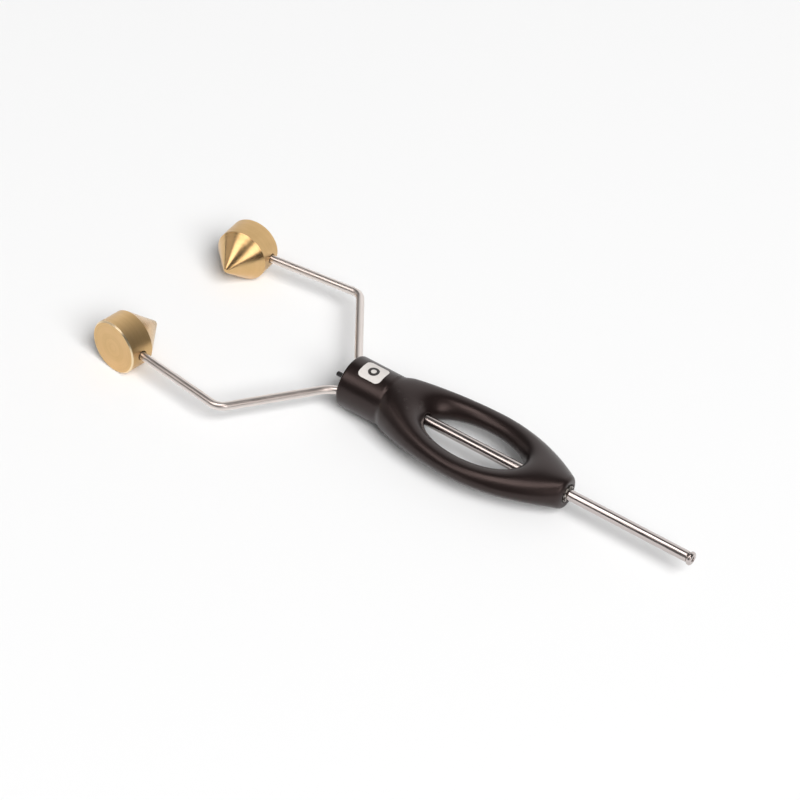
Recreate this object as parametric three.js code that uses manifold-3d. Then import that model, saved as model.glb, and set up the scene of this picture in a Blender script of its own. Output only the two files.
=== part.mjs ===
// Thread bobbin holder for fly tying, in millimetres, +Z up.
//
// The thread tube lies along the X axis and leaves the handle's tail towards +X. Two sprung wire
// arms leave the handle's front face towards -X, lie in the XY plane and carry a brass cone each; a
// thread spool is pinched between the two cone tips. "left" is the +Y side and "right" the -Y side,
// and the tool is a mirror image about the XZ plane.
//
// Every x below is measured from the handle's front face. The last step moves the whole tool along
// X so that its origin is the middle of its length, on the tube's axis.

import * as THREE from 'three';
import { ParametricGeometry } from 'three/addons/geometries/ParametricGeometry.js';
import { mergeVertices } from 'three/addons/utils/BufferGeometryUtils.js';
import Module from 'manifold-3d';

// Handle: a round collar, then a flat lens-shaped grip with a see-through eye, then a blunt tail.
const COLLAR_RADIUS = 4.77;
const GRIP_HALF_WIDTH = 8.9;
const GRIP_HALF_HEIGHT = 2.95;
const GRIP_MIDDLE_X = 26;
const FRONT_PLAN_RADIUS = 42;
const TAIL_PLAN_RADIUS = 29.5;
const TAIL_X = 44.3;
const TAIL_HALF_HEIGHT = 3;
const TAIL_TAPER_LENGTH = 9;
const FRONT_EDGE_ROUND = 0.35;
const TAIL_EDGE_ROUND = 0.5;

// Shoulder: where the collar ends, with a small step down on top and a rounded start to the sides.
const SHOULDER_X = 8.2;
const SHOULDER_STEP = 0.25;
const SHOULDER_STEP_LENGTH = 0.6;
const SHOULDER_ROUND = 0.15;
const SHOULDER_ROUND_LENGTH = 1.8;
const WAIST_BLEND = 0.4;

// A soft ridge runs along each limb, where the grip's flatter top and bottom meet its sides. It
// lies low at the grip's middle and climbs towards the shoulder and the tail.
const RIDGE_MIDDLE_ANGLE = THREE.MathUtils.degToRad(28);
const RIDGE_END_ANGLE = THREE.MathUtils.degToRad(50);
const RIDGE_CLIMB_LENGTH = 17;
const RIDGE_PROUD = 0.05;
const RIDGE_BLEND = 0.04;
const RIDGE_RISE_LENGTH = 2.5;
const RIDGE_FALL_LENGTH = 10;

// Eye: an elliptical opening, narrowest at mid-height and flaring towards both rims.
const EYE_MIDDLE_X = 25.4;
const EYE_HALF_LENGTH = 9.6;
const EYE_HALF_WIDTH = 4.85;
const EYE_FLARE_ALONG = 0.2;
const EYE_FLARE_ACROSS = 0.42;

// Thread tube, its liner, the rounded lip on its outlet and the ferrule where it leaves the tail.
const TUBE_RADIUS = 0.95;
const TUBE_BORE_RADIUS = 0.5;
const TUBE_INLET_X = -1.2;
const TUBE_OUTLET_X = 67.4;
const LINER_RADIUS = 0.45;
const LINER_BORE_RADIUS = 0.25;
const LINER_PROUD = 1.8;
const LIP_RADIUS = 1.2;
const LIP_LENGTH = 0.9;
const FERRULE_RADIUS = 1.5;
const FERRULE_DEPTH = 2;
const FERRULE_PROUD = 0.35;

// Spring wire arms, drawn for the +Y side.
const WIRE_RADIUS = 0.75;
const WIRE_CORNER = new THREE.Vector2(-13.05, 20.4);
const ROOT_ANGLE = THREE.MathUtils.degToRad(54.8);
const TOE_IN_ANGLE = THREE.MathUtils.degToRad(6.9);
const CORNER_BEND_RADIUS = 2.6;
const ENTRY_BEND_RADIUS = 6.5;
const ENTRY_Y = 2.9;
const WIRE_DEPTH = 7;
const FLEXURE_FROM_BEND = 2.4;
const FLEXURE_GAP = 0.3;

// Brass spool cones, one pressed on each wire end.
const CONE_RADIUS = 5;
const CONE_BARREL_LENGTH = 4.6;
const CONE_TAPER_LENGTH = 5.5;
const CONE_TIP_RADIUS = 0.5;
const CONE_EDGE_BEVEL = 0.2;
const CONE_FROM_CORNER = 23.5;
const CONE_WIRE_INSERTION = 7.2;

// Fits and mesh fineness.
const FIT_GAP = 0.05;
const WIRE_HOLE_GAP = 0.15;
const CUT_OVERRUN = 1;
const HANDLE_SEGMENTS = 48;
const HANDLE_STATIONS = 34;
const EYE_STATIONS = 20;
const EDGE_STEPS = 3;
const TURNED_SEGMENTS = 40;
const TUBE_SEGMENTS = 24;
const WIRE_SEGMENTS = 16;

const COATED = new THREE.MeshStandardMaterial({ color: 0x1c1815, roughness: 0.45, metalness: 0.2 });
const STEEL = new THREE.MeshStandardMaterial({ color: 0xc9c6c2, roughness: 0.2, metalness: 1 });
const BRASS = new THREE.MeshStandardMaterial({ color: 0xb98a4c, roughness: 0.35, metalness: 1 });
const LINER = new THREE.MeshStandardMaterial({ color: 0x101010, roughness: 0.4, metalness: 0 });

const wasm = await Module();
wasm.setup();

// Leaves one shared vertex per place and drops the triangles that a pole collapses to nothing.
function weld(geometry) {
  geometry.deleteAttribute('normal');
  geometry.deleteAttribute('uv');
  const merged = mergeVertices(geometry);
  const kept = [];
  for (let i = 0; i < merged.index.count; i += 3) {
    const [a, b, c] = [0, 1, 2].map((corner) => merged.index.getX(i + corner));
    if (a !== b && b !== c && c !== a) kept.push(a, b, c);
  }
  merged.setIndex(kept);
  merged.computeVertexNormals();
  return merged;
}

function toSolid(geometry) {
  const welded = weld(geometry);
  return new wasm.Manifold(new wasm.Mesh({
    numProp: 3,
    vertProperties: new Float32Array(welded.attributes.position.array),
    triVerts: new Uint32Array(welded.index.array),
  }));
}

function toGeometry(solid) {
  const mesh = solid.getMesh();
  const geometry = new THREE.BufferGeometry();
  geometry.setAttribute('position', new THREE.BufferAttribute(mesh.vertProperties, 3));
  geometry.setIndex(new THREE.BufferAttribute(mesh.triVerts, 1));
  geometry.computeVertexNormals();
  return geometry;
}

function cut(body, cutters) {
  return toGeometry(cutters.reduce((solid, cutter) => solid.subtract(toSolid(cutter)), toSolid(body)));
}

// A closed skin through rings. A ring turns an angle into a point; both ends get a flat cap.
function loft(rings, segments) {
  const capCentre = (ring) => {
    const centre = ring(0).add(ring(Math.PI)).multiplyScalar(0.5);
    return () => centre;
  };
  const rows = [capCentre(rings[0]), ...rings, capCentre(rings.at(-1))];
  const surface = (u, v, target) => {
    const row = rows[Math.round(v * (rows.length - 1))];
    target.copy(row((u % 1) * 2 * Math.PI));
  };
  return weld(new ParametricGeometry(surface, segments, rows.length - 1));
}

function evenly(from, to, steps) {
  return Array.from({ length: steps + 1 }, (_, i) => from + ((to - from) * i) / steps);
}

// A turned shape about the X axis from [radius, x] points that close on themselves.
function turnedAlongX(outline, segments) {
  const points = [...outline, outline[0]].map(([radius, x]) => new THREE.Vector2(radius, x));
  const geometry = new THREE.LatheGeometry(points, segments);
  geometry.rotateZ(-Math.PI / 2);
  return weld(geometry);
}

function rodAlongX(radius, from, to, segments = TUBE_SEGMENTS) {
  const geometry = new THREE.CylinderGeometry(radius, radius, to - from, segments);
  geometry.rotateZ(-Math.PI / 2);
  geometry.translate((from + to) / 2, 0, 0);
  return geometry;
}

// ---- handle ----

// The larger of two lengths, rounded over where they cross.
function smoothMax(a, b, blend) {
  const overlap = Math.max(blend - Math.abs(a - b), 0) / blend;
  return Math.max(a, b) + (overlap * overlap * blend) / 4;
}

// The grip's sides are one arc ahead of the middle and a tighter one behind it. The front arc runs
// into the collar over a rounded shoulder.
function handleHalfWidth(x) {
  const radius = x < GRIP_MIDDLE_X ? FRONT_PLAN_RADIUS : TAIL_PLAN_RADIUS;
  const sag = radius - Math.sqrt(radius ** 2 - (x - GRIP_MIDDLE_X) ** 2);
  const shoulder = Math.max(SHOULDER_X + SHOULDER_ROUND_LENGTH - x, 0);
  const grip = GRIP_HALF_WIDTH - sag - SHOULDER_ROUND * shoulder ** 2;
  return x < GRIP_MIDDLE_X ? smoothMax(COLLAR_RADIUS, grip, WAIST_BLEND) : grip;
}

// The collar's height, a small step down, then a long thinning to the grip's middle.
function handleHalfHeight(x) {
  const stepped = THREE.MathUtils.smoothstep(x, SHOULDER_X, SHOULDER_X + SHOULDER_STEP_LENGTH);
  const thinned = THREE.MathUtils.smoothstep(x, SHOULDER_X, GRIP_MIDDLE_X);
  const thinning = COLLAR_RADIUS - SHOULDER_STEP - GRIP_HALF_HEIGHT;
  const grip = COLLAR_RADIUS - SHOULDER_STEP * stepped - thinning * thinned;
  const tapering = THREE.MathUtils.smoothstep(x, TAIL_X - TAIL_TAPER_LENGTH, TAIL_X + 1);
  return THREE.MathUtils.lerp(grip, TAIL_HALF_HEIGHT, tapering);
}

// How far the ridge stands out of a plain ellipse, as a fraction: nothing on the collar and at the
// tail's end.
function ridgeProud(x) {
  const rise = THREE.MathUtils.smoothstep(x, SHOULDER_X, SHOULDER_X + RIDGE_RISE_LENGTH);
  return RIDGE_PROUD * rise * (1 - THREE.MathUtils.smoothstep(x, TAIL_X - RIDGE_FALL_LENGTH, TAIL_X));
}

// A section across the handle at x, drawn in by an edge rounding. It is what two ellipses have in
// common, a wider one and a taller one, which cross on the ridge. On the collar both are a circle.
function handleRing(x, inset) {
  const halfWidth = handleHalfWidth(x) - inset;
  const halfHeight = handleHalfHeight(x) - inset;
  const climb = THREE.MathUtils.smoothstep(Math.abs(x - GRIP_MIDDLE_X), 0, RIDGE_CLIMB_LENGTH);
  const ridge = THREE.MathUtils.lerp(RIDGE_MIDDLE_ANGLE, RIDGE_END_ANGLE, climb);
  const ridgeAcross = (1 + ridgeProud(x)) * Math.cos(ridge);
  const ridgeUp = (1 + ridgeProud(x)) * Math.sin(ridge);
  const wider = ridgeAcross / Math.sqrt(1 - ridgeUp ** 2);
  const taller = ridgeUp / Math.sqrt(1 - ridgeAcross ** 2);
  const blend = (RIDGE_BLEND * ridgeProud(x)) / RIDGE_PROUD;
  return (angle) => {
    const [across, up] = [Math.cos(angle), Math.sin(angle)];
    const flat = Math.hypot(across / wider, up);
    const side = Math.hypot(across, up / taller);
    const reach = blend > 0 ? smoothMax(flat, side, blend) : 1;
    return new THREE.Vector3(x, (halfWidth * across) / reach, (halfHeight * up) / reach);
  };
}

// The rings over a quarter-round edge, from the flat end at x towards the handle's middle.
function edgeRings(x, round, inward) {
  return evenly(0, Math.PI / 2, EDGE_STEPS).map((turn) =>
    handleRing(x + inward * round * (1 - Math.cos(turn)), round * (1 - Math.sin(turn))));
}

function handleBody() {
  const front = edgeRings(0, FRONT_EDGE_ROUND, 1);
  const tail = edgeRings(TAIL_X, TAIL_EDGE_ROUND, -1).reverse();
  const between = evenly(FRONT_EDGE_ROUND, TAIL_X - TAIL_EDGE_ROUND, HANDLE_STATIONS)
    .slice(1, -1)
    .map((x) => handleRing(x, 0));
  return loft([...front, ...between, ...tail], HANDLE_SEGMENTS);
}

function eyeCutter() {
  const reach = COLLAR_RADIUS + CUT_OVERRUN;
  const rings = evenly(-reach, reach, EYE_STATIONS).map((z) => {
    const halfLength = EYE_HALF_LENGTH + EYE_FLARE_ALONG * z * z;
    const halfWidth = EYE_HALF_WIDTH + EYE_FLARE_ACROSS * z * z;
    return (angle) => new THREE.Vector3(
      EYE_MIDDLE_X + halfLength * Math.cos(angle),
      halfWidth * Math.sin(angle),
      z,
    );
  });
  return loft(rings, HANDLE_SEGMENTS);
}

function handle() {
  return cut(handleBody(), [
    eyeCutter(),
    rodAlongX(TUBE_RADIUS + FIT_GAP, -CUT_OVERRUN, TAIL_X + CUT_OVERRUN),
    rodAlongX(FERRULE_RADIUS + FIT_GAP, TAIL_X - FERRULE_DEPTH - FIT_GAP, TAIL_X + CUT_OVERRUN),
    ...[1, -1].map((side) => wire(buriedWirePath(), WIRE_RADIUS + FIT_GAP, side)),
  ]);
}

// ---- spring wire ----

const heading = (angle) => new THREE.Vector2(Math.cos(angle), Math.sin(angle));

// Each path is a list of {point, along} stations in the XY plane for the +Y arm, from the handle
// outwards. An arc turns the wire from one heading to the next.
function arcStations(centre, radius, fromHeading, toHeading, steps) {
  const turn = Math.sign(toHeading - fromHeading);
  return evenly(fromHeading, toHeading, steps).map((angle) => ({
    point: centre.clone().addScaledVector(heading(angle - (turn * Math.PI) / 2), radius),
    along: angle,
  }));
}

const ROOT_HEADING = Math.PI - ROOT_ANGLE;
const END_HEADING = Math.PI + TOE_IN_ANGLE;

// The corner bend touches both straight runs at the same distance from the sharp corner.
function cornerBend() {
  const setback = CORNER_BEND_RADIUS * Math.tan((END_HEADING - ROOT_HEADING) / 2);
  const start = WIRE_CORNER.clone().addScaledVector(heading(ROOT_HEADING), -setback);
  const centre = start.addScaledVector(heading(ROOT_HEADING + Math.PI / 2), CORNER_BEND_RADIUS);
  return arcStations(centre, CORNER_BEND_RADIUS, ROOT_HEADING, END_HEADING, 6);
}

// The entry bend turns the wire from straight out of the handle onto the straight root run.
function entryBend() {
  const rise = ENTRY_BEND_RADIUS * (1 - Math.cos(ROOT_ANGLE));
  const run = ENTRY_BEND_RADIUS * Math.sin(ROOT_ANGLE);
  const bendEndY = ENTRY_Y + rise;
  const bendEndX = WIRE_CORNER.x + (WIRE_CORNER.y - bendEndY) / Math.tan(ROOT_ANGLE);
  const centre = new THREE.Vector2(bendEndX + run, ENTRY_Y + ENTRY_BEND_RADIUS);
  return arcStations(centre, ENTRY_BEND_RADIUS, Math.PI, ROOT_HEADING, 8);
}

// The wire flexes most at its root, so it is split there, on the straight run just past the bend.
function flexurePoint() {
  return entryBend().at(-1).point.addScaledVector(heading(ROOT_HEADING), FLEXURE_FROM_BEND);
}

function station(point, along) {
  return { point, along };
}

function buriedWirePath() {
  const buriedEnd = new THREE.Vector2(WIRE_DEPTH + FIT_GAP, ENTRY_Y);
  return [station(buriedEnd, Math.PI), ...entryBend()];
}

function armRootPath() {
  const gapEdge = flexurePoint().addScaledVector(heading(ROOT_HEADING), -FLEXURE_GAP / 2);
  const buriedEnd = new THREE.Vector2(WIRE_DEPTH, ENTRY_Y);
  return [station(buriedEnd, Math.PI), ...entryBend(), station(gapEdge, ROOT_HEADING)];
}

function armPath() {
  const gapEdge = flexurePoint().addScaledVector(heading(ROOT_HEADING), FLEXURE_GAP / 2);
  const wireLength = CONE_FROM_CORNER - CONE_RADIUS + CONE_WIRE_INSERTION;
  const tip = WIRE_CORNER.clone().addScaledVector(heading(END_HEADING), wireLength);
  return [station(gapEdge, ROOT_HEADING), ...cornerBend(), station(tip, END_HEADING)];
}

function wire(path, radius, side) {
  const rings = path.map(({ point, along }) => {
    const across = heading(along + Math.PI / 2);
    return (angle) => {
      const outward = radius * Math.cos(angle);
      return new THREE.Vector3(
        point.x + across.x * outward,
        side * (point.y + across.y * outward),
        side * radius * Math.sin(angle),
      );
    };
  });
  return loft(rings, WIRE_SEGMENTS);
}

// ---- spool cone ----

// Turned about its own Y axis with the tip towards +Y and the wire crossing at the origin.
function spoolCone(wireSide) {
  const back = -CONE_BARREL_LENGTH / 2;
  const shoulder = CONE_BARREL_LENGTH / 2;
  const outline = [
    [0, back],
    [CONE_RADIUS - CONE_EDGE_BEVEL, back],
    [CONE_RADIUS, back + CONE_EDGE_BEVEL],
    [CONE_RADIUS, shoulder],
    [CONE_TIP_RADIUS, shoulder + CONE_TAPER_LENGTH],
    [0, shoulder + CONE_TAPER_LENGTH],
  ].map(([radius, y]) => new THREE.Vector2(radius, y));
  const holeEnd = CONE_RADIUS - CONE_WIRE_INSERTION - WIRE_HOLE_GAP;
  const hole = rodAlongX(WIRE_RADIUS + WIRE_HOLE_GAP, holeEnd, CONE_RADIUS + CUT_OVERRUN, WIRE_SEGMENTS);
  if (wireSide < 0) hole.rotateY(Math.PI);
  return cut(new THREE.LatheGeometry(outline, TURNED_SEGMENTS), [hole]);
}

// ---- thread tube ----

function threadTube() {
  return turnedAlongX([
    [TUBE_BORE_RADIUS, TUBE_INLET_X],
    [TUBE_RADIUS, TUBE_INLET_X],
    [TUBE_RADIUS, TUBE_OUTLET_X],
    [TUBE_BORE_RADIUS, TUBE_OUTLET_X],
  ], TUBE_SEGMENTS);
}

function tubeLiner() {
  return turnedAlongX([
    [LINER_BORE_RADIUS, TUBE_INLET_X - LINER_PROUD],
    [LINER_RADIUS, TUBE_INLET_X - LINER_PROUD],
    [LINER_RADIUS, TUBE_OUTLET_X + LIP_LENGTH / 2],
    [LINER_BORE_RADIUS, TUBE_OUTLET_X + LIP_LENGTH / 2],
  ], TUBE_SEGMENTS);
}

// A ring with a round outer edge, standing just off the end of the tube.
function tubeLip() {
  const start = TUBE_OUTLET_X + FIT_GAP;
  const edge = LIP_LENGTH / 2;
  const round = evenly(-Math.PI / 2, Math.PI / 2, 6).map((turn) => [
    LIP_RADIUS - edge * (1 - Math.cos(turn)),
    start + edge * (1 + Math.sin(turn)),
  ]);
  return turnedAlongX([
    [TUBE_BORE_RADIUS, start],
    ...round,
    [TUBE_BORE_RADIUS, start + LIP_LENGTH],
  ], TUBE_SEGMENTS);
}

function tailFerrule() {
  return turnedAlongX([
    [TUBE_RADIUS + FIT_GAP, TAIL_X - FERRULE_DEPTH],
    [FERRULE_RADIUS, TAIL_X - FERRULE_DEPTH],
    [FERRULE_RADIUS, TAIL_X],
    [FERRULE_RADIUS - FERRULE_PROUD, TAIL_X + FERRULE_PROUD],
    [TUBE_RADIUS + FIT_GAP, TAIL_X + FERRULE_PROUD],
  ], TUBE_SEGMENTS);
}

// ---- assembly ----

function piece(name, geometry, material) {
  const mesh = new THREE.Mesh(geometry, material);
  mesh.name = name;
  return mesh;
}

// One arm's wire pieces and cone. side is +1 on the left and -1 on the right.
function arm(name, side) {
  const seat = WIRE_CORNER.clone().addScaledVector(heading(END_HEADING), CONE_FROM_CORNER);
  const cone = piece(`${name}_spool_cone`, spoolCone(-side), BRASS);
  cone.position.set(seat.x, side * seat.y, 0);
  cone.rotation.z = side > 0 ? Math.PI + TOE_IN_ANGLE : -TOE_IN_ANGLE;
  return new THREE.Group().add(
    piece(`${name}_arm_root`, wire(armRootPath(), WIRE_RADIUS, side), STEEL),
    piece(`${name}_arm`, wire(armPath(), WIRE_RADIUS, side), STEEL),
    cone,
  );
}

const bobbin = new THREE.Group().add(
  piece('handle', handle(), COATED),
  piece('thread_tube', threadTube(), STEEL),
  piece('tube_liner', tubeLiner(), LINER),
  piece('tube_lip', tubeLip(), STEEL),
  piece('tail_ferrule', tailFerrule(), STEEL),
  arm('left', 1),
  arm('right', -1),
);
bobbin.position.x = -new THREE.Box3().setFromObject(bobbin, true).getCenter(new THREE.Vector3()).x;

export default bobbin;
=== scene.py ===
"""Looks of the thread bobbin holder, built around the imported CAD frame.

The frame is in metres: +X along the thread tube to its outlet, +Y to the left arm, +Z up, origin at
the middle of the tool's length. Shapes are worked out in millimetres and scaled once, when a mesh
becomes a piece. Lengths called "from front" start at the flat front face of the handle's collar.
"""

import math

import bmesh
import bpy
import numpy as np
from mathutils import Matrix, Vector


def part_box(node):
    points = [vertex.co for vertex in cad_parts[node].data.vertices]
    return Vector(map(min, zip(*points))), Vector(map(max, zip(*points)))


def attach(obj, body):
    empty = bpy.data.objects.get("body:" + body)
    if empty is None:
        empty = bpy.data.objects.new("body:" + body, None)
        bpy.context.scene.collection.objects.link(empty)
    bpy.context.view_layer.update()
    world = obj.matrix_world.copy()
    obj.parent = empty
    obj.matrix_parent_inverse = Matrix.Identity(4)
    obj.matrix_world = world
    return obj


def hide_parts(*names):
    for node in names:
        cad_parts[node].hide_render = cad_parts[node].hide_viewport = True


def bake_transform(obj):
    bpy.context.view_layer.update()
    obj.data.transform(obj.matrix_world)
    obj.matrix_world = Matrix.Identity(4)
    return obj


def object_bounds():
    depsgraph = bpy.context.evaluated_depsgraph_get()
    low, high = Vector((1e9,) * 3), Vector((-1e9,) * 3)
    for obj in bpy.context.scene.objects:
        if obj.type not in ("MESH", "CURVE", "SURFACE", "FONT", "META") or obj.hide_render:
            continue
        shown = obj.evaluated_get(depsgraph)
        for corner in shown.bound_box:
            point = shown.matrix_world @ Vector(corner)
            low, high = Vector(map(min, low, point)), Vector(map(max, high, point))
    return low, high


MM = 0.001
AXIS_Z = Vector((0, 0, 1))

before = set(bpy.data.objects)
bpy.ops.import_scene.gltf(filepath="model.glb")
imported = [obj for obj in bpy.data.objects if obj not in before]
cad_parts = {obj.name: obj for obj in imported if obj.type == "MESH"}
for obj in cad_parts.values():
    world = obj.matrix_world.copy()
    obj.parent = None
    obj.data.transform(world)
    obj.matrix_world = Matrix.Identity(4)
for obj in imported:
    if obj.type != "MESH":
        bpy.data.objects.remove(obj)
cad_low, cad_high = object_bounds()


def cad_box(node):
    """The lowest and highest corner of a CAD node, in millimetres."""
    low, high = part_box(node)
    return low / MM, high / MM


# ---- driving dimensions, millimetres ----

handle_low, handle_high = cad_box("handle")
FRONT_X = handle_low.x
TAIL_X = handle_high.x
COLLAR_RADIUS = handle_high.z
GRIP_HALF_WIDTH = handle_high.y
GRIP_HALF_HEIGHT = 2.95
GRIP_MIDDLE_X = FRONT_X + 26.0
FRONT_PLAN_RADIUS = 42.0
TAIL_PLAN_RADIUS = 29.5
TAIL_HALF_HEIGHT = 3.0
TAIL_TAPER_LENGTH = 9.0
TAIL_TAPER_OVERRUN = 1.0
FRONT_EDGE_ROUND = 0.45
TAIL_EDGE_ROUND = 0.7

SHOULDER_X = FRONT_X + 8.2
SHOULDER_STEP = 0.25
SHOULDER_STEP_LENGTH = 0.6
SHOULDER_ROUND = 0.15
SHOULDER_ROUND_LENGTH = 1.8
WAIST_BLEND = 0.4

RIDGE_MIDDLE_ANGLE = math.radians(28)
RIDGE_END_ANGLE = math.radians(50)
RIDGE_CLIMB_LENGTH = 17.0
RIDGE_PROUD = 0.05
RIDGE_ROUND = 0.16
LEAST_RIDGE_ROUND = 0.01
RIDGE_RISE_LENGTH = 2.5
RIDGE_FALL_LENGTH = 10.0

EYE_MIDDLE_X = FRONT_X + 25.4
EYE_HALF_LENGTH = 9.6
EYE_HALF_WIDTH = 4.85
# the eye's half length and half width grow by these times the squared height
EYE_FLARE_ALONG = 0.2
EYE_FLARE_ACROSS = 0.42
EYE_RIM_ROUND = 1.2

ferrule_low, ferrule_high = cad_box("tail_ferrule")
FERRULE_START_X = ferrule_low.x
FERRULE_RADIUS = ferrule_high.z
FERRULE_RECESS_GAP = 0.1
TUBE_RADIUS = cad_box("thread_tube")[1].z
TUBE_BORE_RADIUS = 0.5
LINER_BORE_RADIUS = 0.25
FERRULE_FIT_GAP = 0.02
FERRULE_BORE_RADIUS = TUBE_RADIUS + FERRULE_FIT_GAP

# the radii of each ring's (bore, outside) end edges
TUBE_ROUNDS = (0.1, 0.15)
LINER_ROUNDS = (0.05, 0.08)
LIP_ROUNDS = (0.2, 0.42)
FERRULE_ROUNDS = (0.1, 0.3)

# the gap around the tube and the wires inside the handle
HOLE_GAP = 0.04
BORE_EDGE_ROUND = 0.3
WIRE_HOLE_EDGE_ROUND = 0.2

WIRE_RADIUS = cad_box("left_arm")[1].z
WIRE_CORNER = Vector((FRONT_X - 13.05, 20.4))
ROOT_ANGLE = math.radians(54.8)
TOE_IN_ANGLE = math.radians(6.9)
CORNER_BEND_RADIUS = 2.6
ENTRY_BEND_RADIUS = 6.5
ENTRY_Y = 2.9
ENTRY_BEND_END_Y = ENTRY_Y + ENTRY_BEND_RADIUS * (1 - math.cos(ROOT_ANGLE))
ENTRY_BEND_END_X = WIRE_CORNER.x + (WIRE_CORNER.y - ENTRY_BEND_END_Y) / math.tan(ROOT_ANGLE)
ENTRY_BEND_START_X = ENTRY_BEND_END_X + ENTRY_BEND_RADIUS * math.sin(ROOT_ANGLE)
WIRE_DEPTH = 7.0
STRAIGHT_STEP = 0.6
BEND_STEPS = 14

CONE_RADIUS = cad_box("left_spool_cone")[1].z
CONE_BARREL_LENGTH = 4.6
CONE_TAPER_LENGTH = 5.5
CONE_TIP_RADIUS = 0.5
# points on the tip's rounded edge, as (inwards, down) from where its side would meet its flat
CONE_TIP_EDGE = ((0, 0.1), (0.12, 0.02), (0.25, 0))
CONE_EDGE_BEVEL = 0.22
CONE_FROM_CORNER = 23.5
CONE_WIRE_INSERTION = 7.2
CONE_HOLE_GAP = 0.16
CONE_BACK_RINGS = 6
CONE_BARREL_RINGS = 8
CONE_CUTTER_LENGTH = 12

BADGE_FROM_FRONT = 4.6
# how far round the collar the badge's middle is from the top, towards -Y
BADGE_ROUND_THE_COLLAR = 0.35
BADGE_LENGTH = 4.5
BADGE_ARC = 4.1
BADGE_CORNER = 0.9
BADGE_CORNER_STEP = 15
BADGE_SUBDIVISIONS = 2
BADGE_THICKNESS = 0.03
BADGE_MARK_RADII = (1.0, 0.5)

HANDLE_CELL = 0.2
SMOOTHING_ROUNDS = 4
PULLS_PER_ROUND = 3
GRADIENT_STEP = 0.01
LEAST_SQUARED_SLOPE = 0.05
TURNED_SEGMENTS = 128
TUBE_SEGMENTS = 48
OUTER_EDGE_STEPS = 4
BORE_EDGE_STEPS = 3
WIRE_SEGMENTS = 32

ON_AXIS = 1e-6
TINY = 1e-9


# ---- meshes ----


def finish_piece(name, mesh, body, slot, material, *nodes, place=None, crease=None):
    """Scales a millimetre mesh to metres, gives it its finish and puts it on its CAD body.

    It is shaded smooth, except over edges that turn more than `crease` degrees.
    """
    mesh.transform(Matrix.Scale(MM, 4))
    mesh.shade_smooth()
    if crease is not None:
        mesh.set_sharp_from_angle(angle=math.radians(crease))
    mesh.materials.append(material)
    piece = bpy.data.objects.new(name, mesh)
    bpy.context.scene.collection.objects.link(piece)
    if place is not None:
        piece.matrix_world = place
    if body is not None:
        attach(piece, body)
    if nodes:
        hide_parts(*nodes)
    return piece


def new_mesh(name, vertices, faces):
    mesh = bpy.data.meshes.new(name)
    mesh.from_pydata([tuple(v) for v in vertices], [], [tuple(f) for f in faces])
    mesh.update()
    return mesh


def arc(centre, radius, start, end, steps):
    """(radius, height) points on a round of an outline, from a start to an end angle in degrees."""
    angles = np.radians(np.linspace(start, end, steps + 1))
    return [(centre[0] + radius * math.cos(a), centre[1] + radius * math.sin(a)) for a in angles]


def turned(name, outline, segments, closed=False):
    """A turned shape about its local Z axis from (radius, height) points.

    An open outline starts and ends on the axis; a closed one goes round a bore.
    """
    vertices, rows = [], []
    for radius, height in outline:
        if radius < ON_AXIS:
            rows.append([len(vertices)] * segments)
            vertices.append((0, 0, height))
            continue
        rows.append(list(range(len(vertices), len(vertices) + segments)))
        for i in range(segments):
            angle = 2 * math.pi * i / segments
            vertices.append((radius * math.cos(angle), radius * math.sin(angle), height))
    if closed:
        rows.append(rows[0])
    faces = []
    for low, high in zip(rows, rows[1:]):
        for i in range(segments):
            j = (i + 1) % segments
            corners = [low[i], low[j], high[j], high[i]]
            faces.append(list(dict.fromkeys(corners)))
    return new_mesh(name, vertices, faces)


def swept(name, stations, radius, segments):
    """A round bar along (point, heading) stations in the XY plane, with flat ends and a UV map.

    U goes round the bar and V along it, in bar circumferences.
    """
    vertices, faces = [], []
    for point, heading in stations:
        across = Vector((-math.sin(heading), math.cos(heading), 0))
        for i in range(segments):
            angle = 2 * math.pi * i / segments
            offset = across * math.cos(angle) + AXIS_Z * math.sin(angle)
            vertices.append(Vector((point.x, point.y, 0)) + offset * radius)
    last = len(stations) - 1
    for row in range(last):
        for i in range(segments):
            a, b = row * segments + i, row * segments + (i + 1) % segments
            faces.append((a, b, b + segments, a + segments))
    faces.append(tuple(reversed(range(segments))))
    faces.append(tuple(last * segments + i for i in range(segments)))
    mesh = new_mesh(name, vertices, faces)
    travel = [0.0]
    for (a, _), (b, _) in zip(stations, stations[1:]):
        travel.append(travel[-1] + (b - a).length)
    uv = mesh.uv_layers.new(name="bar")
    for face in mesh.polygons:
        for loop, vertex in zip(face.loop_indices, face.vertices):
            row, i = divmod(vertex, segments)
            u = i / segments
            if u == 0 and any(v % segments == segments - 1 for v in face.vertices):
                u = 1.0
            uv.data[loop].uv = (u, travel[row] / (2 * math.pi * radius))
    return mesh


def faced_out(mesh):
    """The mesh with its faces turned outwards."""
    shape = bmesh.new()
    shape.from_mesh(mesh)
    bmesh.ops.recalc_face_normals(shape, faces=shape.faces)
    shape.to_mesh(mesh)
    shape.free()
    return mesh


def cut(mesh, cutter):
    """mesh with the cutter mesh taken away from it."""
    objects = [bpy.data.objects.new("cut", m) for m in (mesh, cutter)]
    for o in objects:
        bpy.context.scene.collection.objects.link(o)
    modifier = objects[0].modifiers.new("cut", "BOOLEAN")
    modifier.operation = "DIFFERENCE"
    modifier.solver = "EXACT"
    modifier.object = objects[1]
    evaluated = objects[0].evaluated_get(bpy.context.evaluated_depsgraph_get())
    result = bpy.data.meshes.new_from_object(evaluated)
    for o in objects:
        bpy.data.objects.remove(o)
    return result


# ---- the handle as a field: negative inside, about a distance near the surface ----


def smoothstep(value, low, high):
    t = np.clip((value - low) / (high - low), 0, 1)
    return t * t * (3 - 2 * t)


def smooth_max(a, b, blend):
    """The larger of two fields, rounded over where they cross."""
    overlap = np.maximum(blend - np.abs(a - b), 0) / blend
    return np.maximum(a, b) + overlap * overlap * blend / 4


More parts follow.
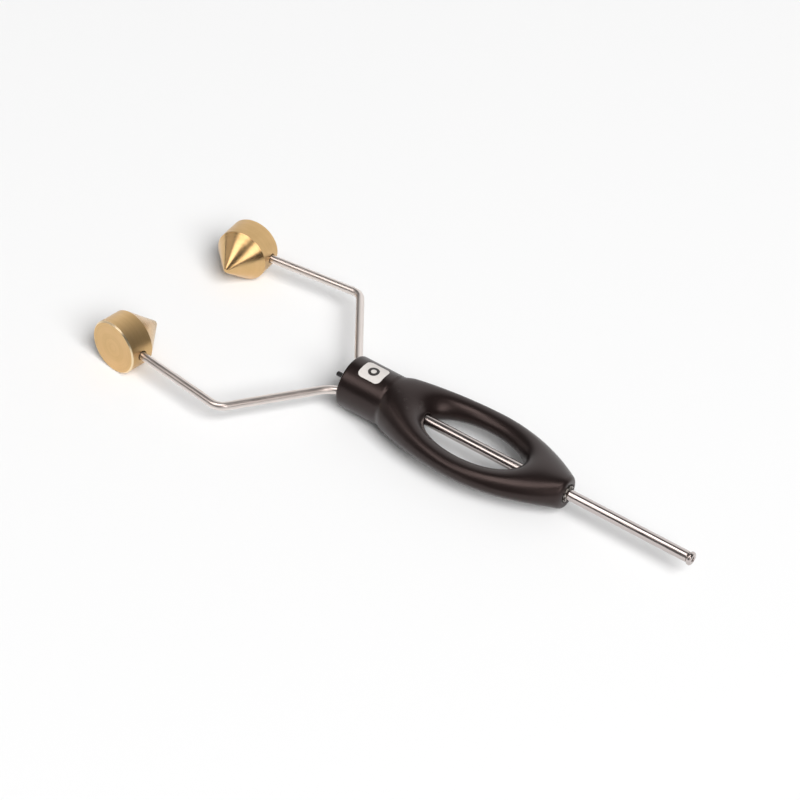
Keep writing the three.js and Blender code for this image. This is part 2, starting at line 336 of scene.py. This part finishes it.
def ellipse_field(u, v, half_u, half_v):
    """About the distance of (u, v) outside an ellipse."""
    reach = np.sqrt((u / half_u) ** 2 + (v / half_v) ** 2) + TINY
    slope = np.sqrt((u / half_u**2) ** 2 + (v / half_v**2) ** 2) / reach + TINY
    return (reach - 1) / slope


def handle_half_width(x):
    """The grip's sides are two arcs; the front one runs into the collar over a rounded shoulder."""
    radius = np.where(x < GRIP_MIDDLE_X, FRONT_PLAN_RADIUS, TAIL_PLAN_RADIUS)
    sag = radius - np.sqrt(radius**2 - (x - GRIP_MIDDLE_X) ** 2)
    shoulder = np.maximum(SHOULDER_X + SHOULDER_ROUND_LENGTH - x, 0)
    grip = GRIP_HALF_WIDTH - sag - SHOULDER_ROUND * shoulder**2
    return np.where(x < GRIP_MIDDLE_X, smooth_max(COLLAR_RADIUS, grip, WAIST_BLEND), grip)


def handle_half_height(x):
    """The collar's height, a small step down, then a long thinning to the grip's middle."""
    stepped = smoothstep(x, SHOULDER_X, SHOULDER_X + SHOULDER_STEP_LENGTH)
    thinned = smoothstep(x, SHOULDER_X, GRIP_MIDDLE_X)
    thinning = COLLAR_RADIUS - SHOULDER_STEP - GRIP_HALF_HEIGHT
    grip = COLLAR_RADIUS - SHOULDER_STEP * stepped - thinning * thinned
    tapering = smoothstep(x, TAIL_X - TAIL_TAPER_LENGTH, TAIL_X + TAIL_TAPER_OVERRUN)
    return grip + (TAIL_HALF_HEIGHT - grip) * tapering


def section_field(x, y, z):
    """What a wider and a taller ellipse have in common. They cross on the ridge along each limb."""
    half_width, half_height = handle_half_width(x), handle_half_height(x)
    rise = smoothstep(x, SHOULDER_X, SHOULDER_X + RIDGE_RISE_LENGTH)
    rise = rise * (1 - smoothstep(x, TAIL_X - RIDGE_FALL_LENGTH, TAIL_X))
    climb = smoothstep(np.abs(x - GRIP_MIDDLE_X), 0, RIDGE_CLIMB_LENGTH)
    ridge = RIDGE_MIDDLE_ANGLE + (RIDGE_END_ANGLE - RIDGE_MIDDLE_ANGLE) * climb
    across = (1 + RIDGE_PROUD * rise) * np.cos(ridge)
    up = (1 + RIDGE_PROUD * rise) * np.sin(ridge)
    flat = ellipse_field(y, z, half_width * across / np.sqrt(1 - up**2), half_height)
    side = ellipse_field(y, z, half_width, half_height * up / np.sqrt(1 - across**2))
    return smooth_max(flat, side, RIDGE_ROUND * rise + LEAST_RIDGE_ROUND)


def eye_field(x, y, z):
    """The see-through opening, narrowest at mid-height."""
    half_length = EYE_HALF_LENGTH + EYE_FLARE_ALONG * z * z
    half_width = EYE_HALF_WIDTH + EYE_FLARE_ACROSS * z * z
    along, across = x - EYE_MIDDLE_X, y
    slope = np.hypot(1, 2 * EYE_FLARE_ACROSS * z)
    return ellipse_field(along, across, half_length, half_width) / slope


def wire_hole_field(x, y, z):
    """The two holes that the spring wires fill, straight inside and bending out at the front."""
    bend_y = ENTRY_Y + ENTRY_BEND_RADIUS
    side = np.abs(y)
    off_arc = np.hypot(x - ENTRY_BEND_START_X, side - bend_y) - ENTRY_BEND_RADIUS
    off_line = side - ENTRY_Y
    across = np.where(x < ENTRY_BEND_START_X, off_arc, off_line)
    hole = np.hypot(across, z) - WIRE_RADIUS - HOLE_GAP
    return np.maximum(hole, x - FRONT_X - WIRE_DEPTH)


def handle_field(x, y, z):
    """The section cut off at both ends, with the eye, the tube's bore and recess and the wire holes."""
    body = section_field(x, y, z)
    body = smooth_max(body, FRONT_X - x, FRONT_EDGE_ROUND)
    body = smooth_max(body, x - TAIL_X, TAIL_EDGE_ROUND)
    body = smooth_max(body, -eye_field(x, y, z), EYE_RIM_ROUND)
    off_axis = np.hypot(y, z)
    bore = off_axis - TUBE_RADIUS - HOLE_GAP
    recess_start = FERRULE_START_X - FERRULE_RECESS_GAP
    recess = np.maximum(off_axis - FERRULE_RADIUS - FERRULE_RECESS_GAP, recess_start - x)
    body = smooth_max(body, -np.minimum(bore, recess), BORE_EDGE_ROUND)
    return smooth_max(body, -wire_hole_field(x, y, z), WIRE_HOLE_EDGE_ROUND)


def gradient(field, points):
    slopes = []
    for axis in range(3):
        offset = np.zeros(3)
        offset[axis] = GRADIENT_STEP
        ahead, behind = (points + offset).T, (points - offset).T
        slopes.append((field(*ahead) - field(*behind)) / (2 * GRADIENT_STEP))
    return np.stack(slopes, 1)


def surface_net(name, field, low, high, cell):
    """An even quad mesh over field(x, y, z) = 0, with one vertex in each cell the surface crosses.

    In each round the vertices move halfway to their neighbours and are pulled back to the surface.
    """
    counts = np.ceil((np.array(high) - low) / cell).astype(int) + 1
    axes = [low[i] + cell * np.arange(counts[i]) for i in range(3)]
    inside = field(*np.meshgrid(*axes, indexing="ij")) < 0
    corners = sum(
        inside[i : counts[0] - 1 + i, j : counts[1] - 1 + j, k : counts[2] - 1 + k].astype(int)
        for i in (0, 1)
        for j in (0, 1)
        for k in (0, 1)
    )
    crossed = (corners > 0) & (corners < 8)
    index = np.full(crossed.shape, -1)
    index[crossed] = np.arange(crossed.sum())
    points = np.array(low) + cell * (np.argwhere(crossed) + 0.5)
    quads = []
    for axis in range(3):
        b, c = (axis + 1) % 3, (axis + 2) % 3
        here = [slice(1, -1)] * 3
        here[axis] = slice(0, -1)
        ahead = list(here)
        ahead[axis] = slice(1, None)
        first, second = inside[tuple(here)], inside[tuple(ahead)]
        start = np.argwhere(first != second)
        start[:, b] += 1
        start[:, c] += 1
        leaving = first[first != second]
        around = []
        for back_b, back_c in ((1, 1), (0, 1), (0, 0), (1, 0)):
            cell_at = start.copy()
            cell_at[:, b] -= back_b
            cell_at[:, c] -= back_c
            around.append(index[tuple(cell_at.T)])
        faces = np.stack(around, 1)
        faces[~leaving] = faces[~leaving][:, ::-1]
        quads.append(faces)
    quads = np.concatenate(quads)
    for _ in range(SMOOTHING_ROUNDS):
        total, count = np.zeros_like(points), np.zeros(len(points))
        for a, b in ((0, 1), (1, 2), (2, 3), (3, 0)):
            for near, far in ((a, b), (b, a)):
                np.add.at(total, quads[:, near], points[quads[:, far]])
                np.add.at(count, quads[:, near], 1)
        points = (points + total / count[:, None]) / 2
        for _ in range(PULLS_PER_ROUND):
            slope = gradient(field, points)
            steepness = np.maximum((slope**2).sum(1), LEAST_SQUARED_SLOPE)
            points = points - slope * (field(*points.T) / steepness)[:, None]
    return new_mesh(name, points, quads)


# ---- node materials ----

# Colours are linear, with alpha. A noise's scale or frequency is per metre, or on the UV map of a bar
# per circumference. Depths are in millimetres. These are the ranges that most of a noise falls in.
MIDDLE_NOISE = (0.3, 0.7)
CORE_NOISE = (0.35, 0.65)


def socket_name(key):
    """The Principled surface's name for a keyword: base_color is "Base Color"."""
    return key.replace("_", " ").title().replace("Ior", "IOR")


class Finish:
    """A node material with a Principled surface."""

    def __init__(self, name, **surface):
        self.material = bpy.data.materials.new(name)
        self.material.use_nodes = True
        self.tree = self.material.node_tree
        self.surface = self.tree.nodes["Principled BSDF"]
        self.connect(**surface)

    def node(self, kind, inputs, **settings):
        made = self.tree.nodes.new("ShaderNode" + kind)
        for key, value in settings.items():
            setattr(made, key, value)
        for key, value in inputs.items():
            self.feed(made.inputs[key], value)
        return made

    def feed(self, socket, value):
        if isinstance(value, bpy.types.NodeSocket):
            self.tree.links.new(value, socket)
        else:
            socket.default_value = value

    def place(self, kind="Object"):
        """Where a surface point is: metres in the piece's own axes, or its UV map."""
        return self.node("TexCoord", {}).outputs[kind]

    def math(self, operation, a, b):
        return self.node("Math", {0: a, 1: b}, operation=operation).outputs[0]

    def noise(self, vector, scale, detail=2, roughness=0.5):
        inputs = {"Vector": vector, "Scale": scale, "Detail": detail, "Roughness": roughness}
        return self.node("TexNoise", inputs).outputs["Fac"]

    def stretched(self, vector, factors):
        return self.node("Mapping", {"Vector": vector, "Scale": factors}).outputs[0]

    def remap(self, value, source, target=(0, 1)):
        """value carried from the source range to the target range, and held inside it."""
        inputs = {0: value, 1: source[0], 2: source[1], 3: target[0], 4: target[1]}
        return self.node("MapRange", inputs).outputs[0]

    def blend(self, factor, first, second):
        inputs = {0: factor, 6: first, 7: second}
        return self.node("Mix", inputs, data_type="RGBA").outputs[2]

    def bump(self, height, depth):
        inputs = {"Height": height, "Distance": depth * MM, "Strength": 1}
        return self.node("Bump", inputs).outputs[0]

    def connect(self, **sockets):
        for key, value in sockets.items():
            self.feed(self.surface.inputs[socket_name(key)], value)
        return self.material


def handle_finish():
    """Satin near-black coating: warm, faintly mottled, with a fine grain and rubbed edges."""
    dark, pale = (0.0058, 0.0034, 0.0031, 1), (0.0095, 0.0060, 0.0056, 1)
    worn, worn_share, worn_polish = (0.03, 0.025, 0.023, 1), 0.25, 0.06
    edge_pointiness, grain_depth = (0.51, 0.56), 0.012
    f = Finish("handle_black", specular_ior_level=0.52, specular_tint=(1.0, 0.8, 0.77, 1))
    cloud = f.noise(f.place(), scale=90, detail=4)
    grain = f.noise(f.place(), scale=5200)
    rubbed = f.remap(f.node("NewGeometry", {}).outputs["Pointiness"], edge_pointiness)
    tone = f.blend(cloud, dark, pale)
    satin = f.remap(cloud, MIDDLE_NOISE, (0.27, 0.34))
    return f.connect(
        base_color=f.blend(f.math("MULTIPLY", rubbed, worn_share), tone, worn),
        roughness=f.math("SUBTRACT", satin, f.math("MULTIPLY", rubbed, worn_polish)),
        normal=f.bump(grain, grain_depth),
    )


def steel_finish(name, tone, rough, frequency, depth, kind="Object"):
    """Drawn bright steel, with fine lines along its length and faint handling marks.

    The lines run along the axis of the chosen coordinates that has the lowest noise frequency.
    """
    line_shade, smudge_roughness = 0.82, 0.08
    f = Finish(name, metallic=1.0)
    lines = f.noise(f.stretched(f.place(kind), frequency), scale=1, detail=3)
    smudge = f.noise(f.place(), scale=420, detail=3)
    darker = (*[c * line_shade for c in tone[:3]], 1)
    return f.connect(
        base_color=f.blend(f.remap(lines, CORE_NOISE), darker, tone),
        roughness=f.remap(smudge, CORE_NOISE, (rough, rough + smudge_roughness)),
        normal=f.bump(lines, depth),
    )


def ferrule_finish():
    """A crimped dull ring: dark, with bright flecks where the metal is torn."""
    dark, bright = (0.06, 0.05, 0.045, 1), (0.55, 0.52, 0.48, 1)
    f = Finish("ferrule_grey", metallic=1.0)
    flecks = f.noise(f.place(), scale=2600, detail=3, roughness=0.7)
    return f.connect(
        base_color=f.blend(f.remap(flecks, (0.48, 0.58)), dark, bright),
        roughness=f.remap(flecks, (0.4, 0.6), (0.5, 0.25)),
        normal=f.bump(flecks, depth=0.12),
    )


def brass_finish():
    """Satin turned brass, with a highlight painted in a pale colour on the chamfer round the back edge.

    The tool lines circle the local Z axis on barrel, taper and back. The taper is the more polished.
    """
    light, warm, deep = (0.72, 0.48, 0.235, 1), (0.68, 0.45, 0.21, 1), (0.56, 0.36, 0.15, 1)
    # bright is the pale colour of the painted highlight on the back edge's chamfer
    bright, rim_highlight_share = (0.95, 0.80, 0.55, 1), 0.8
    fine_share, groove_depth = 0.6, 0.016
    taper_polish, taper_fade, highlight_fade = 0.1, 0.1 * MM, 0.05 * MM
    f = Finish("brass", metallic=1.0)
    axes = f.node("SeparateXYZ", {"Vector": f.place()}).outputs
    flat = f.node("CombineXYZ", {"X": axes["X"], "Y": axes["Y"]}).outputs[0]
    off_axis = f.node("VectorMath", {0: flat}, operation="LENGTH").outputs["Value"]
    groove_place = f.node("CombineXYZ", {"X": off_axis, "Y": axes["Z"]}).outputs[0]
    fine = f.math("MULTIPLY", f.noise(groove_place, scale=9000, roughness=0.7), fine_share)
    coarse = f.math("MULTIPLY", f.noise(groove_place, scale=1800), 1 - fine_share)
    grooves = f.math("ADD", fine, coarse)
    haze = f.noise(f.place(), scale=260, detail=4)
    tone = f.blend(f.remap(haze, MIDDLE_NOISE), light, warm)
    tone = f.blend(f.remap(grooves, (0.35, 0.55), (0.5, 0)), tone, deep)
    rim = (CONE_RADIUS - CONE_EDGE_BEVEL) * MM
    bevel_top = (CONE_EDGE_BEVEL - CONE_BARREL_LENGTH / 2) * MM
    # the chamfer round the back edge is painted pale here: a painted highlight, not the brass's own
    # colour
    painted_highlight_past_rim = f.remap(off_axis, (rim - highlight_fade, rim), (0, rim_highlight_share))
    painted_highlight_on_back = f.remap(axes["Z"], (bevel_top, bevel_top + highlight_fade), (1, 0))
    shoulder = CONE_BARREL_LENGTH / 2 * MM
    taper = f.remap(axes["Z"], (shoulder, shoulder + taper_fade))
    satin = f.remap(haze, MIDDLE_NOISE, (0.29, 0.36))
    return f.connect(
        base_color=f.blend(f.math("MULTIPLY", painted_highlight_past_rim, painted_highlight_on_back), tone, bright),
        roughness=f.math("SUBTRACT", satin, f.math("MULTIPLY", taper, taper_polish)),
        normal=f.bump(grooves, groove_depth),
    )


def plain_finish(name, first, second, rough):
    """Printed ink or dull plastic with a slightly uneven tone."""
    uneven_roughness = 0.1
    f = Finish(name)
    return f.connect(
        base_color=f.blend(f.noise(f.place(), scale=1600, detail=3), first, second),
        roughness=f.remap(
            f.noise(f.place(), scale=3000), MIDDLE_NOISE, (rough, rough + uneven_roughness)
        ),
    )


HANDLE_BLACK = handle_finish()
STEEL = steel_finish(
    "steel", (0.62, 0.56, 0.54, 1), rough=0.15, frequency=(10, 1500, 1500), depth=0.0003
)
SPRING_WIRE = steel_finish(
    "spring_wire", (0.80, 0.73, 0.69, 1), rough=0.28, frequency=(9, 0.02, 1), depth=0.0008, kind="UV"
)
FERRULE_GREY = ferrule_finish()
BRASS = brass_finish()
LINER_DARK = plain_finish("liner_dark", (0.008, 0.008, 0.009, 1), (0.02, 0.019, 0.018, 1), rough=0.3)
BADGE_GREY = plain_finish("badge_grey", (0.62, 0.58, 0.55, 1), (0.74, 0.70, 0.67, 1), rough=0.45)
BADGE_DARK = plain_finish("badge_dark", (0.02, 0.017, 0.015, 1), (0.035, 0.03, 0.028, 1), rough=0.4)


# ---- pieces on the handle ----

ALONG_X = Matrix.Rotation(math.radians(90), 4, "Y")


def handle_piece():
    margin = 2 * HANDLE_CELL
    low = [c - margin for c in handle_low]
    high = [c + margin for c in handle_high]
    mesh = surface_net("handle_shell", handle_field, low, high, HANDLE_CELL)
    finish_piece("handle_shell", mesh, "handle", "handle_black", HANDLE_BLACK, "handle")


def ring_outline(bore, radius, start, end, inner_round, outer_round):
    """A tube's outline from (radius, x): outside, then bore, with rounded end edges."""
    return [
        *arc((radius - outer_round, start + outer_round), outer_round, -90, 0, OUTER_EDGE_STEPS),
        *arc((radius - outer_round, end - outer_round), outer_round, 0, 90, OUTER_EDGE_STEPS),
        *arc((bore + inner_round, end - inner_round), inner_round, 90, 180, BORE_EDGE_STEPS),
        *arc((bore + inner_round, start + inner_round), inner_round, 180, 270, BORE_EDGE_STEPS),
    ]


def ring_piece(name, node, slot, material, bore, rounds):
    """A tube or ring on the X axis, as long and as wide as its CAD node."""
    low, high = cad_box(node)
    outline = ring_outline(bore, high.z, low.x, high.x, *rounds)
    mesh = faced_out(turned(name, outline, TUBE_SEGMENTS, closed=True))
    mesh.transform(ALONG_X)
    finish_piece(name, mesh, "handle", slot, material, node, crease=40)


handle_piece()
ring_piece("thread_tube_polished", "thread_tube", "steel", STEEL, TUBE_BORE_RADIUS, TUBE_ROUNDS)
ring_piece(
    "tube_liner_smooth", "tube_liner", "liner_dark", LINER_DARK, LINER_BORE_RADIUS, LINER_ROUNDS
)
ring_piece("tube_lip_polished", "tube_lip", "steel", STEEL, TUBE_BORE_RADIUS, LIP_ROUNDS)
ring_piece(
    "tail_ferrule_ring",
    "tail_ferrule",
    "ferrule_grey",
    FERRULE_GREY,
    FERRULE_BORE_RADIUS,
    FERRULE_ROUNDS,
)


def badge_sheet(name, material, lift, *loops):
    """A thin printed patch bent round the top of the collar, this far above it.

    Its outline, and a hole in it, are loops of (x, arc) points.
    """
    sheet = bmesh.new()
    edges = []
    for loop in loops:
        ring = [sheet.verts.new((x, y, 0)) for x, y in loop]
        edges += [sheet.edges.new((a, b)) for a, b in zip(ring, ring[1:] + ring[:1])]
    bmesh.ops.triangle_fill(sheet, edges=edges, use_beauty=True)
    for _ in range(BADGE_SUBDIVISIONS):
        bmesh.ops.subdivide_edges(sheet, edges=sheet.edges[:], cuts=1, use_grid_fill=True)
    bmesh.ops.recalc_face_normals(sheet, faces=sheet.faces)
    if sheet.faces[:][0].normal.z < 0:
        bmesh.ops.reverse_faces(sheet, faces=sheet.faces)
    top = bmesh.ops.extrude_face_region(sheet, geom=sheet.faces[:])["geom"]
    raised = {v for v in top if isinstance(v, bmesh.types.BMVert)}
    for v in sheet.verts:
        radius = COLLAR_RADIUS + lift + (BADGE_THICKNESS if v in raised else 0)
        angle = (v.co.y + BADGE_ROUND_THE_COLLAR) / COLLAR_RADIUS
        v.co = Vector((v.co.x, -radius * math.sin(angle), radius * math.cos(angle)))
    bmesh.ops.recalc_face_normals(sheet, faces=sheet.faces)
    mesh = bpy.data.meshes.new(name)
    sheet.to_mesh(mesh)
    sheet.free()
    finish_piece(name, mesh, "handle", "handle_black", material, crease=40)


def rounded_rectangle(middle_x, length, width, corner):
    points = []
    half_x, half_y = length / 2 - corner, width / 2 - corner
    for quarter, (sx, sy) in enumerate(((1, 1), (-1, 1), (-1, -1), (1, -1))):
        for degrees in range(0, 91, BADGE_CORNER_STEP):
            angle = math.radians(90 * quarter + degrees)
            x = middle_x + sx * half_x + corner * math.cos(angle)
            points.append((x, sy * half_y + corner * math.sin(angle)))
    return points


def circle(middle_x, radius, steps=32):
    turns = [2 * math.pi * i / steps for i in range(steps)]
    return [(middle_x + radius * math.cos(t), radius * math.sin(t)) for t in turns]


badge_x = FRONT_X + BADGE_FROM_FRONT
badge_outline = rounded_rectangle(badge_x, BADGE_LENGTH, BADGE_ARC, BADGE_CORNER)
mark_loops = [circle(badge_x, radius) for radius in BADGE_MARK_RADII]
badge_sheet("badge_plate", BADGE_GREY, 0.0, badge_outline)
badge_sheet("badge_ring", BADGE_DARK, BADGE_THICKNESS, *mark_loops)


# ---- spring arms and cones, mirrored about the XZ plane ----

ROOT_HEADING = math.pi - ROOT_ANGLE
END_HEADING = math.pi + TOE_IN_ANGLE


def direction(angle):
    return Vector((math.cos(angle), math.sin(angle)))


def bend(start, radius, from_heading, to_heading):
    """Stations along an arc that starts at a point and turns from one heading to another."""
    turn = 1 if to_heading > from_heading else -1
    centre = start + direction(from_heading + turn * math.pi / 2) * radius
    headings = np.linspace(from_heading, to_heading, BEND_STEPS + 1)
    return [(centre + direction(h - turn * math.pi / 2) * radius, float(h)) for h in headings]


def straight(start, end, heading):
    """Evenly spaced stations between two points, without the points themselves."""
    count = max(1, round((end - start).length / STRAIGHT_STEP))
    return [(start.lerp(end, i / count), heading) for i in range(1, count)]


def arm_stations():
    """The +Y arm's centre line, from its buried end to its end inside the cone."""
    buried = Vector((FRONT_X + WIRE_DEPTH, ENTRY_Y))
    bend_start = Vector((ENTRY_BEND_START_X, ENTRY_Y))
    entry = bend(bend_start, ENTRY_BEND_RADIUS, math.pi, ROOT_HEADING)
    setback = CORNER_BEND_RADIUS * math.tan((END_HEADING - ROOT_HEADING) / 2)
    corner_start = WIRE_CORNER - direction(ROOT_HEADING) * setback
    corner = bend(corner_start, CORNER_BEND_RADIUS, ROOT_HEADING, END_HEADING)
    length = CONE_FROM_CORNER - CONE_RADIUS + CONE_WIRE_INSERTION
    tip = WIRE_CORNER + direction(END_HEADING) * length
    return [
        (buried, math.pi),
        *straight(buried, entry[0][0], math.pi),
        *entry,
        *straight(entry[-1][0], corner[0][0], ROOT_HEADING),
        *corner,
        *straight(corner[-1][0], tip, END_HEADING),
        (tip, END_HEADING),
    ]


def cone_mesh(name):
    """A turned cone on local Z, its tip up and the middle of its barrel at the origin.

    The wire hole runs in from the barrel's side along local +X.
    """
    back, shoulder = -CONE_BARREL_LENGTH / 2, CONE_BARREL_LENGTH / 2
    point = shoulder + CONE_TAPER_LENGTH
    bevel = CONE_EDGE_BEVEL
    rim = CONE_RADIUS - bevel
    outline = [
        (0, back),
        *[(float(radius), back) for radius in np.linspace(0, rim, CONE_BACK_RINGS + 1)[1:]],
        *[(CONE_RADIUS, float(z)) for z in np.linspace(back + bevel, shoulder, CONE_BARREL_RINGS + 1)],
        *[(CONE_TIP_RADIUS - inset, point - drop) for inset, drop in CONE_TIP_EDGE],
        (0, point),
    ]
    body = faced_out(turned(name, outline, TURNED_SEGMENTS))
    hole_radius = WIRE_RADIUS + CONE_HOLE_GAP
    hole_end = CONE_RADIUS - CONE_WIRE_INSERTION - CONE_HOLE_GAP
    hole_outline = [(0, 0), (hole_radius, 0), (hole_radius, CONE_CUTTER_LENGTH), (0, CONE_CUTTER_LENGTH)]
    hole = faced_out(turned("hole", hole_outline, WIRE_SEGMENTS))
    hole.transform(Matrix.Translation((hole_end, 0, 0)) @ ALONG_X)
    return cut(body, hole)


def build_arm(side, arm):
    """One arm's bent wire, in one piece from its buried end to its cone, and the cone. side is 1 for +Y
    and -1 for -Y.
    """
    stations = [(Vector((p.x, side * p.y)), side * h) for p, h in arm_stations()]
    wire = faced_out(swept(f"{arm}_wire", stations, WIRE_RADIUS, WIRE_SEGMENTS))
    nodes = (f"{arm}_root", arm)
    piece = finish_piece(f"{arm}_wire", wire, None, "spring_wire", SPRING_WIRE, *nodes, crease=50)
    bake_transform(piece)

    name = arm.replace("_arm", "_spool_cone")
    seat = WIRE_CORNER + direction(END_HEADING) * CONE_FROM_CORNER
    wire_way = -direction(side * END_HEADING).to_3d()
    tip_way = Vector((wire_way.y, -wire_way.x, 0)) * side
    across = tip_way.cross(wire_way)
    place = Matrix((wire_way, across, tip_way)).transposed().to_4x4()
    place.translation = Vector((seat.x, side * seat.y, 0)) * MM
    mesh = cone_mesh(f"{name}_turned")
    finish_piece(f"{name}_turned", mesh, arm, "brass", BRASS, name, place=place, crease=28)


build_arm(1, "left_arm")
build_arm(-1, "right_arm")


# ---- floor, light and camera: metres and degrees ----

FLOOR_SIZE = 6.0
FLOOR_TONE = (0.9, 0.9, 0.9, 1)
FLOOR_ROUGHNESS = 0.9
SKY_ON_FLOOR = 0.24
BACKDROP_STRENGTH = 1.1
REFLECTED_LAMP_TINT = (1.0, 0.93, 0.90)
FLOOR_LAMP_TINT = (1, 1, 1)
LAMP_DISTANCE = 0.6
SHADOW_LAMP_DISTANCE = 4.8
SWEEP_AZIMUTH = 95
SWEEP_EDGE = (0.38, 0.72)
SWEEP_STRENGTH = (0.09, 1.1)


def from_angles(azimuth, elevation):
    """A unit vector towards a place in the studio, from degrees about +Z and above the floor."""
    azimuth, elevation = math.radians(azimuth), math.radians(elevation)
    level = math.cos(elevation)
    return Vector((math.cos(azimuth) * level, math.sin(azimuth) * level, math.sin(elevation)))


def add_light(name, azimuth, elevation, distance, size, radiance, reflected=True):
    """A soft rectangular light of this (width, height), facing the tool.

    It is either a softbox that is only reflected, or a lamp that only lights surfaces.
    """
    data = bpy.data.lights.new(name, "AREA")
    data.shape = "RECTANGLE"
    data.size, data.size_y = size
    data.energy = radiance * math.pi * size[0] * size[1]
    data.color = REFLECTED_LAMP_TINT if reflected else FLOOR_LAMP_TINT
    lamp = bpy.data.objects.new(name, data)
    way = from_angles(azimuth, elevation)
    lamp.location = way * distance
    lamp.rotation_mode = "QUATERNION"
    lamp.rotation_quaternion = way.to_track_quat("Z", "Y")
    lamp.visible_glossy = reflected
    lamp.visible_diffuse = not reflected
    lamp.visible_camera = False
    bpy.context.scene.collection.objects.link(lamp)


floor_signs = ((-1, -1), (1, -1), (1, 1), (-1, 1))
floor_corners = [(x * FLOOR_SIZE, y * FLOOR_SIZE, cad_low.z) for x, y in floor_signs]
floor_mesh = new_mesh("floor", floor_corners, [(0, 1, 2, 3)])
floor_finish = Finish("floor_paper", base_color=FLOOR_TONE, roughness=FLOOR_ROUGHNESS)
floor_mesh.materials.append(floor_finish.material)
floor = bpy.data.objects.new("floor", floor_mesh)
bpy.context.scene.collection.objects.link(floor)

world = bpy.data.worlds.new("studio")
bpy.context.scene.world = world
world.use_nodes = True
tree = world.node_tree
ray = tree.nodes.new("ShaderNodeLightPath").outputs


def sky(strength):
    background = tree.nodes.new("ShaderNodeBackground")
    background.inputs["Color"].default_value = (1, 1, 1, 1)
    if isinstance(strength, bpy.types.NodeSocket):
        tree.links.new(strength, background.inputs["Strength"])
    else:
        background.inputs["Strength"].default_value = strength
    return background.outputs[0]


def sweep_glow():
    """What reflections see: a dark studio with a pale paper sweep rising behind the tool."""
    towards = tree.nodes.new("ShaderNodeVectorMath")
    towards.operation = "DOT_PRODUCT"
    tree.links.new(tree.nodes.new("ShaderNodeTexCoord").outputs["Generated"], towards.inputs[0])
    towards.inputs[1].default_value = from_angles(SWEEP_AZIMUTH, 0)
    glow = tree.nodes.new("ShaderNodeMapRange")
    glow.interpolation_type = "SMOOTHSTEP"
    tree.links.new(towards.outputs["Value"], glow.inputs["Value"])
    ranges = (*SWEEP_EDGE, *SWEEP_STRENGTH)
    for key, value in zip(("From Min", "From Max", "To Min", "To Max"), ranges):
        glow.inputs[key].default_value = value
    return glow.outputs[0]


def choose(factor, first, second):
    """The first shader where the factor is 0, the second where it is 1."""
    mixer = tree.nodes.new("ShaderNodeMixShader")
    for socket, value in zip(mixer.inputs, (factor, first, second)):
        tree.links.new(value, socket)
    return mixer.outputs[0]


surroundings = choose(ray["Is Glossy Ray"], sky(SKY_ON_FLOOR), sky(sweep_glow()))
surroundings = choose(ray["Is Camera Ray"], surroundings, sky(BACKDROP_STRENGTH))
tree.links.new(surroundings, tree.nodes["World Output"].inputs[0])

add_light("overhead_softbox", -95, 72, LAMP_DISTANCE, (0.30, 0.30), radiance=3.4)
add_light("left_softbox", -120, 45, LAMP_DISTANCE, (0.32, 0.24), radiance=2.4)
add_light("right_softbox", -37, 32, LAMP_DISTANCE, (0.22, 0.40), radiance=2.6)
add_light("left_card", -163, 20, LAMP_DISTANCE, (0.45, 0.32), radiance=0.5)
add_light("shadow_maker", -30, 44, SHADOW_LAMP_DISTANCE, (3.0, 3.0), radiance=11.2, reflected=False)

CAMERA_AZIMUTH, CAMERA_ELEVATION, CAMERA_ROLL = map(math.radians, (31.79, 40.45, 5.70))
CAMERA_LENS = 112.5
CAMERA_SENSOR = 36.0
CAMERA_NEAR = 0.01
CAMERA_FAR = 50.0
CAMERA_PLACE = Vector((167.0, -274.7, 276.8)) * MM


def camera_axes():
    """The camera's right, up and back, leant over by its roll."""
    level, tilt = math.cos(CAMERA_ELEVATION), math.sin(CAMERA_ELEVATION)
    back = Vector((math.sin(CAMERA_AZIMUTH) * level, -math.cos(CAMERA_AZIMUTH) * level, tilt))
    right = AXIS_Z.cross(back).normalized()
    up = back.cross(right)
    c, s = math.cos(CAMERA_ROLL), math.sin(CAMERA_ROLL)
    return right * c + up * s, up * c - right * s, back


camera_data = bpy.data.cameras.new("camera")
camera_data.lens = CAMERA_LENS
camera_data.sensor_width = CAMERA_SENSOR
camera_data.clip_start = CAMERA_NEAR
camera_data.clip_end = CAMERA_FAR
camera = bpy.data.objects.new("camera", camera_data)
camera.matrix_world = Matrix(camera_axes()).transposed().to_4x4()
camera.location = CAMERA_PLACE
bpy.context.scene.collection.objects.link(camera)
bpy.context.scene.camera = camera
bpy.context.scene.view_settings.view_transform = "Standard"
